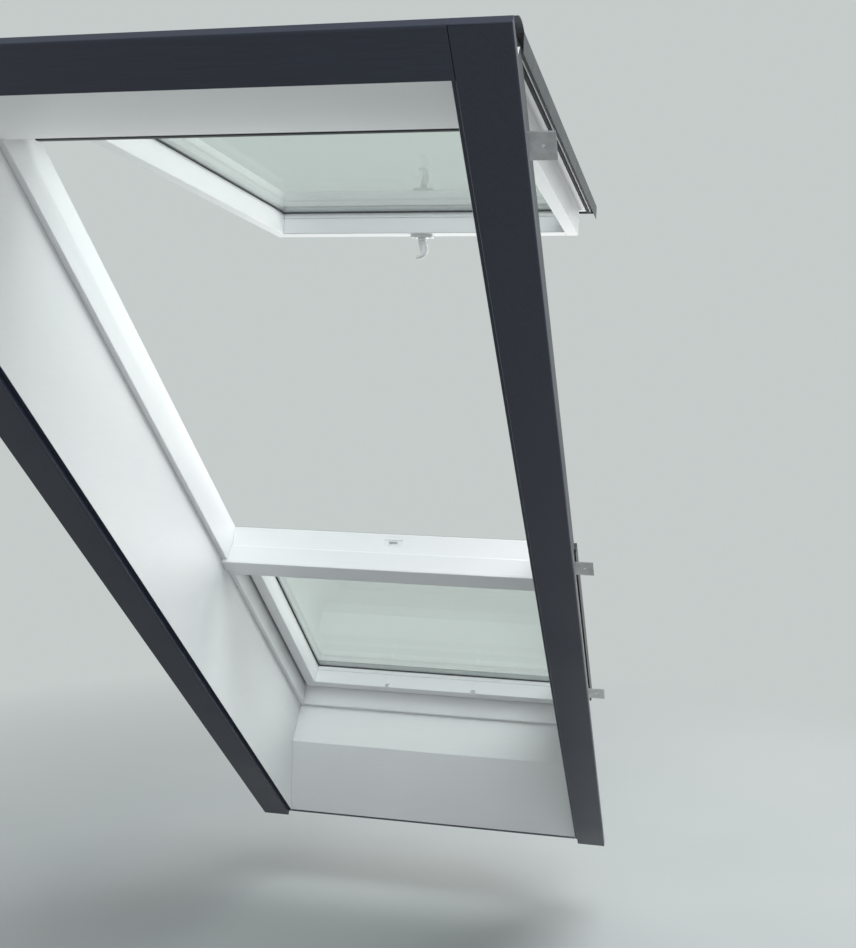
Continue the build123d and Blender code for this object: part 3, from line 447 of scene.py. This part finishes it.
seal_rubber = soft_rubber("seal_rubber", (0.02, 0.02, 0.022))
gasket_rubber = soft_rubber("glazing_gasket_rubber", (0.035, 0.035, 0.038))
spacer = spacer_metal("pane_spacer_metal", (0.62, 0.63, 0.64))
lower_glass = window_glass("lower_pane_glass", (0.95, 0.983, 0.966))
upper_glass = window_glass("upper_pane_glass", (0.915, 0.968, 0.942))

# Each finish, how far it lets the arrises be eased in mm, and its nodes; the other nodes are sheet covers
FINISHES = (
    (casing_paint, 0.6, ("casing_left", "casing_right")),
    (head_casing_paint, 0.6, ("casing_head",)),
    (lining_paint, 0.8, ("lining_left", "lining_right")),
    (head_lining_paint, 0.8, ("lining_head",)),
    (sill_paint, 0.8, ("sill_board",)),
    (apron_paint, 0.8, ("apron_board",)),
    (rail_lacquer, 0.8, ("transom_cover_board",)),
    (rail_lacquer, 0.7, ("lower_frame_bottom", "lower_frame_head", "upper_frame_bottom", "upper_frame_head",
                         "lower_sash_top")),
    (rail_lacquer, 0.5, ("lower_sash_bottom",)),
    (frame_lacquer, 0.7, ("lower_frame_left", "lower_frame_right", "upper_frame_left", "upper_frame_right",
                          "lower_sash_left", "lower_sash_right")),
    (sash_lacquer, 0.7, ("upper_sash_left", "upper_sash_right")),
    (sash_rail_lacquer, 0.7, ("upper_sash_top",)),
    (sash_rail_lacquer, 0.5, ("upper_sash_bottom",)),
    (lower_glass, 0.4, ("lower_inner_pane", "lower_outer_pane")),
    (upper_glass, 0.4, ("upper_inner_pane", "upper_outer_pane")),
    (spacer, 0.8, ("lower_pane_spacer", "upper_pane_spacer")),
    (gasket_rubber, 0.6, ("lower_glazing_gasket", "upper_glazing_gasket")),
    (seal_rubber, 2.0, ("lower_weather_seal",)),
    (seal_rubber, 1.6, ("sash_weather_seal",)),
    (zinc_steel, 0.3, ("lock_bolt",)),
    (zinc_steel, 0.4, ("hinge_plates", "hinge_arms", "fixing_brackets")),
    (zinc_steel, 0.5, ("lock_case",)),
    (strike_paint, 0.3, ("strike_plate",)),
    (screw_steel, 0.4, ("bracket_screws",)),
    (bar_metal, 0.6, ("vent_bar",)),
    (bar_metal, 0.5, ("vent_flap",)),
    (ear_plastic, 0.5, ("vent_bar_ears",)),
    (hook_plastic, 0.6, ("blind_hooks",)),
)
COVER = (cover_sheet, 0.4)
MADE_ANEW = ("handle_plate", "handle_lever")
finish_of = {node: (finish, ease) for finish, ease, nodes in FINISHES for node in nodes}
body_of = {node: body for body, nodes in frame["record"]["behaviour"]["bodies"].items() for node in nodes}

# How edges are welded, flattened, eased and shaded
WELD = 1e-6
FLAT_BELOW = radians(0.4)
EASED_ABOVE = radians(48)
SHORTEST_EASED = 0.004
SMOOTH_BELOW = radians(40)


def round_edges(work, edges, width, segments):
    """Bevel edges to a round"""
    bmesh.ops.bevel(work, geom=edges, affect="EDGES", offset=width, segments=segments, profile=0.5, material=-1,
                    clamp_overlap=False)


def bake_piece(work, name, finish, body, node=None, levels=0):
    """Turn a bmesh into a finished piece that rides on a body"""
    mesh = bpy.data.meshes.new(name)
    work.to_mesh(mesh)
    work.free()
    mesh.materials.append(finish)
    piece = bpy.data.objects.new(name, mesh)
    bpy.context.scene.collection.objects.link(piece)
    mesh.shade_smooth()
    if levels:
        rounding = piece.modifiers.new("rounding", "SUBSURF")
        rounding.levels = rounding.render_levels = levels
    else:
        mesh.set_sharp_from_angle(angle=SMOOTH_BELOW)
        flats = piece.modifiers.new("flats", "WEIGHTED_NORMAL")
        flats.keep_sharp = True
    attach(piece, body)
    if node:
        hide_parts(node)


def eased(node, finish, width):
    """The node's solid with its long outer arrises eased and its rounds smoothly shaded"""
    work = bmesh.new()
    work.from_mesh(frame["nodes"][node].data)
    bmesh.ops.remove_doubles(work, verts=work.verts, dist=WELD)
    bmesh.ops.dissolve_limit(work, angle_limit=FLAT_BELOW, verts=work.verts, edges=work.edges)
    shortest = max(6 * width, SHORTEST_EASED)
    arrises = [e for e in work.edges if len(e.link_faces) == 2 and e.is_convex
               and e.calc_face_angle(0.0) > EASED_ABOVE and e.calc_length() > shortest]
    round_edges(work, arrises, width, segments=2)
    bake_piece(work, node + "_eased", finish, body_of[node], node)


for node in frame["nodes"]:
    if node not in MADE_ANEW:
        finish, ease = finish_of.get(node, COVER)
        eased(node, finish, ease * MM)

# Screw heads: how they taper, and the reach, arm, waist, depth and floor of the cross as shares
HEAD_TAPER = 0.86
CROSS_REACH = 0.55
CROSS_ARM = 0.2
CROSS_WAIST = 0.42
CROSS_DEPTH = 0.6
CROSS_FLOOR = 0.6


def add_screw(work, place, radius, height):
    """Low head with a cross recess; its local Z points away from what it holds"""
    earlier = set(work.verts)
    ring = bmesh.ops.create_circle(work, cap_ends=True, radius=radius, segments=24)["verts"]
    walls = bmesh.ops.extrude_face_region(work, geom=[ring[0].link_faces[0]])["geom"]
    top = next(g for g in walls if isinstance(g, bmesh.types.BMFace))
    raised = list(top.verts)
    bmesh.ops.translate(work, verts=raised, vec=(0, 0, height))
    bmesh.ops.scale(work, verts=raised, vec=(HEAD_TAPER, HEAD_TAPER, 1))
    bmesh.ops.inset_region(work, faces=[top], thickness=radius * HEAD_TAPER * (1 - CROSS_REACH),
                           use_even_offset=False)
    for vert in list(top.verts):
        quarters = vert.co.to_2d().angle_signed(Vector((1, 0))) / radians(90)
        if abs((quarters + 0.5) % 1.0 - 0.5) > CROSS_ARM:
            vert.co.xy *= CROSS_WAIST
    sunk = bmesh.ops.extrude_face_region(work, geom=[top])["geom"]
    bottom = [g for g in sunk if isinstance(g, bmesh.types.BMVert)]
    bmesh.ops.translate(work, verts=bottom, vec=(0, 0, -CROSS_DEPTH * height))
    bmesh.ops.scale(work, verts=bottom, vec=(CROSS_FLOOR, CROSS_FLOOR, 1))
    bmesh.ops.transform(work, matrix=place, verts=[v for v in work.verts if v not in earlier])


def screws(node, places, radius, height, finish=screw_steel, name=None):
    """One piece of screw heads on the body of the node that they hold"""
    work = bmesh.new()
    for place in places:
        add_screw(work, place, radius, height)
    bmesh.ops.recalc_face_normals(work, faces=work.faces)
    bake_piece(work, name or node + "_screws", finish, body_of[node])


HINGE_PLATE_DROPS = (0.022, 0.046)
ARM_DROPS = (0.045, 0.120, 0.195)
EAR_INSET, EAR_DROP = 0.0125, 0.015
STRIKE_SPREAD = 0.018
PLATE_SPREAD = 0.0215

screws("hinge_plates", [roof.sideways(side * (LIP_HALF - HINGE_PLATE_PROUD), HINGE_S - drop, HINGE_N, -side)
                        for side in SIDES for drop in HINGE_PLATE_DROPS],
       radius=0.0042, height=0.0003, name="hinge_plate_screws")
screws("hinge_arms", [sash.sideways(side * (SASH_HALF + ARM_THICKNESS), ARM_S - drop, ARM_N, side)
                      for side in SIDES for drop in ARM_DROPS],
       radius=0.0042, height=0.0003, name="hinge_arm_screws")
screws("vent_bar_ears", [sash.room(side * (SASH_HALF - EAR_INSET), SASH_TOP - EAR_DROP, SASH_FACE - EAR_THICKNESS)
                         for side in SIDES],
       radius=0.0034, height=0.0012, name="ear_screws")
screws("strike_plate", [roof.upwards(side * STRIKE_SPREAD, STRIKE_S, BOLT_N) for side in SIDES],
       radius=0.0034, height=0.0003, finish=strike_paint)
screws("handle_plate", [sash.room(side * PLATE_SPREAD, HANDLE_S, PLATE_ROOM) for side in SIDES],
       radius=0.0036, height=0.0006)

# Handle: the plate with its sunk panel, the hub, the square spindle and the lever's tip
PLATE_SIZE = (0.062, 0.030, 0.009)
PLATE_CORNER, PLATE_RIM = 0.006, 0.002
PANEL_MARGIN, PANEL_EDGE, PANEL_DEPTH = 0.0022, 0.0006, 0.0004
HUB_FOOT, HUB_HEAD, HUB_HEIGHT, HUB_RIM = 0.0122, 0.0114, 0.008, 0.0009
SPINDLE_SIZE, SPINDLE_REACH, SPINDLE_EDGE = (0.008, 0.008, 0.034), 0.0255, 0.0004
TIP_INSET, TIP_RISE = 0.0016, 0.0014
LEVEL = 1e-5

# Stations along the lever in mm and degrees: place across, depth into the room, lean, half width, half thickness
LEVER_STATIONS = (
    (0.0, -4.0, 0, 12.0, 9.6), (0.6, 2.0, 4, 12.2, 9.4), (3.6, 12.0, 14, 12.6, 9.2), (6.6, 22.0, 8, 12.6, 9.2),
    (6.6, 31.0, -16, 12.0, 9.2), (2.6, 38.5, -42, 10.6, 9.0), (-4.4, 43.4, -68, 8.4, 8.4),
    (-11.2, 45.4, -82, 6.6, 7.4), (-16.4, 45.9, -86, 5.0, 6.0),
)


def room_face(work):
    """The face nearest the room, before the piece is put in its place"""
    return max(work.faces, key=lambda f: f.calc_center_median().z)


def handle_plate():
    """Plate with rounded corners and a slightly sunk panel"""
    work = bmesh.new()
    bmesh.ops.create_cube(work, size=1.0)
    bmesh.ops.scale(work, verts=work.verts, vec=PLATE_SIZE)
    upright = [e for e in work.edges if abs(e.verts[0].co.z - e.verts[1].co.z) > MM]
    round_edges(work, upright, PLATE_CORNER, segments=6)
    round_edges(work, list(room_face(work).edges), PLATE_RIM, segments=4)
    panel = room_face(work)
    bmesh.ops.inset_region(work, faces=[panel], thickness=PANEL_MARGIN)
    bmesh.ops.inset_region(work, faces=[panel], thickness=PANEL_EDGE, depth=-PANEL_DEPTH)
    bmesh.ops.transform(work, matrix=sash.room(0, HANDLE_S, PLATE_ROOM + PLATE_SIZE[2] / 2), verts=work.verts)
    bake_piece(work, "handle_plate_rounded", handle_paint, body_of["handle_plate"],
               "handle_plate")


def sweep_lever(work):
    """Hooked lever, swept through its stations and closed at its tip"""
    ring = bmesh.ops.create_circle(work, cap_ends=True, radius=1.0, segments=12)["verts"]
    edges = list(ring[0].link_faces[0].edges)
    before = Matrix.Identity(4)
    for number, (x, depth, lean, half, thick) in enumerate(LEVER_STATIONS):
        station = (Matrix.Translation((x * MM, 0, depth * MM)) @ Matrix.Rotation(radians(lean), 4, "Y")
                   @ Matrix.Diagonal((half * MM, thick * MM, MM, 1)))
        if number:
            grown = bmesh.ops.extrude_edge_only(work, edges=edges)["geom"]
            ring = [g for g in grown if isinstance(g, bmesh.types.BMVert)]
            edges = [g for g in grown if isinstance(g, bmesh.types.BMEdge)]
        bmesh.ops.transform(work, matrix=station @ before.inverted(), verts=ring)
        before = station
    tip = bmesh.ops.contextual_create(work, geom=edges)["faces"]
    bmesh.ops.inset_region(work, faces=tip, thickness=TIP_INSET, depth=TIP_RISE)
    bmesh.ops.recalc_face_normals(work, faces=work.faces)


def handle_lever():
    """The lever with the round hub and the square spindle that turn with it"""
    work = bmesh.new()
    sweep_lever(work)
    hub = bmesh.ops.create_cone(work, cap_ends=True, segments=40, radius1=HUB_FOOT, radius2=HUB_HEAD,
                                depth=HUB_HEIGHT)["verts"]
    rims = [e for e in work.edges if e.verts[0] in hub and e.verts[1] in hub
            and abs(e.verts[0].co.z - e.verts[1].co.z) < LEVEL]
    bmesh.ops.translate(work, verts=hub, vec=(0, 0, -HUB_HEIGHT / 2))
    round_edges(work, rims, HUB_RIM, segments=3)
    spindle = bmesh.ops.create_cube(work, size=1.0)["verts"]
    bmesh.ops.scale(work, verts=spindle, vec=SPINDLE_SIZE)
    bmesh.ops.translate(work, verts=spindle, vec=(0, 0, -SPINDLE_REACH))
    bars = [e for e in work.edges if e.verts[0] in spindle and e.verts[1] in spindle]
    round_edges(work, bars, SPINDLE_EDGE, segments=1)
    bmesh.ops.transform(work, matrix=sash.room(0, HANDLE_S, HUB_TOP), verts=work.verts)
    bake_piece(work, "handle_lever_rounded", handle_paint, body_of["handle_lever"],
               "handle_lever", levels=2)


handle_plate()
handle_lever()

# Floor, pale and plain, that fades into the background
FLOOR_SIZE = 14
FLOOR_LEVEL = cad_box[0].z - 0.22
FLOOR_GREYS = ((0.3, (0.36, 0.38, 0.375)), (0.7, (0.385, 0.40, 0.395)))
FADE_START, FADE_END = 1.3, 3.4

floor_finish, tree, shader = start_finish("floor_pale")
grey = noise_of(tree, place_of(tree), scale=1.2, detail=2.0)
tree.links.new(ramp_of(tree, grey, FLOOR_GREYS), shader.inputs["Base Color"])
shader.inputs["Roughness"].default_value = 0.9
distance = tree.nodes.new("ShaderNodeVectorMath")
distance.operation = "LENGTH"
tree.links.new(place_of(tree), distance.inputs[0])
faded = tree.nodes.new("ShaderNodeMath")
faded.operation = "MULTIPLY"
tree.links.new(range_of(tree, distance.outputs["Value"], 0.0, 1.0, FADE_START, FADE_END), faded.inputs[0])
tree.links.new(shown_of(tree), faded.inputs[1])
haze = tree.nodes.new("ShaderNodeEmission")
haze.inputs["Color"].default_value = (*BACKGROUND, 1)
choose_shader(tree, faded.outputs[0], shader, haze)

work = bmesh.new()
bmesh.ops.create_grid(work, x_segments=1, y_segments=1, size=FLOOR_SIZE)
mesh = bpy.data.meshes.new("floor")
work.to_mesh(mesh)
work.free()
mesh.transform(Matrix.Translation((0, 0, FLOOR_LEVEL)))
mesh.materials.append(floor_finish)
floor = bpy.data.objects.new("floor", mesh)
bpy.context.scene.collection.objects.link(floor)

# Surroundings: the light on the window, and the background that is seen
world = bpy.data.worlds.new("room")
bpy.context.scene.world = world
world.use_nodes = True
tree = world.node_tree
tree.nodes.clear()
tree.nodes.new("ShaderNodeOutputWorld")
ambient, background = (tree.nodes.new("ShaderNodeBackground") for _ in range(2))
ambient.inputs["Color"].default_value = (0.90, 0.93, 1.0, 1)
ambient.inputs["Strength"].default_value = 0.30
background.inputs["Color"].default_value = (*BACKGROUND, 1)
background.inputs["Strength"].default_value = 1.0
choose_shader(tree, shown_of(tree), ambient, background)

# Lamps: name, place, target, width, height, power, colour and whether gloss mirrors them
LAMPS = (
    ("daylight", (2.3, 2.6, 2.6), (-0.3, -0.8, 0.6), 4.0, 4.0, 198, (0.98, 1.0, 0.99), False),
    ("sky", (1.4, -1.7, 4.6), (0, -0.5, 0.5), 3.4, 3.0, 248, (0.95, 0.98, 1.0), False),
    ("garden_light", (0.3, 1.8, FLOOR_LEVEL + 0.02), (0.3, 1.8, 2.0), 3.4, 1.8, 190, (0.98, 1.0, 0.98), False),
    ("room_fill", (1.8, -5.4, 2.2), (0, -1.0, 0.6), 3.0, 3.0, 38, (0.93, 0.93, 1.0), True),
)
for name, place, target, wide, high, power, colour, in_gloss in LAMPS:
    data = bpy.data.lights.new(name, "AREA")
    data.shape, data.size, data.size_y, data.energy, data.color = "RECTANGLE", wide, high, power, colour
    light = bpy.data.objects.new(name, data)
    light.location = place
    light.rotation_euler = (Vector(target) - Vector(place)).to_track_quat("-Z", "Y").to_euler()
    light.visible_camera = light.visible_transmission = False
    light.visible_glossy = in_gloss
    bpy.context.scene.collection.objects.link(light)

# Camera, solved from the window's straight edges
camera_data = bpy.data.cameras.new("camera")
camera = bpy.data.objects.new("camera", camera_data)
bpy.context.scene.collection.objects.link(camera)
camera_data.sensor_width = 36.0
camera_data.lens = 46.704
camera_data.shift_y = 0.0072
camera_data.clip_start, camera_data.clip_end = 0.05, 100
camera.location = (0.77365, -3.78884, 0.94758)
camera.rotation_mode = "QUATERNION"
camera.rotation_quaternion = Quaternion((0.721816, 0.68343, 0.06526, 0.087446))
bpy.context.scene.camera = camera
bpy.context.scene.view_settings.view_transform = "Standard"
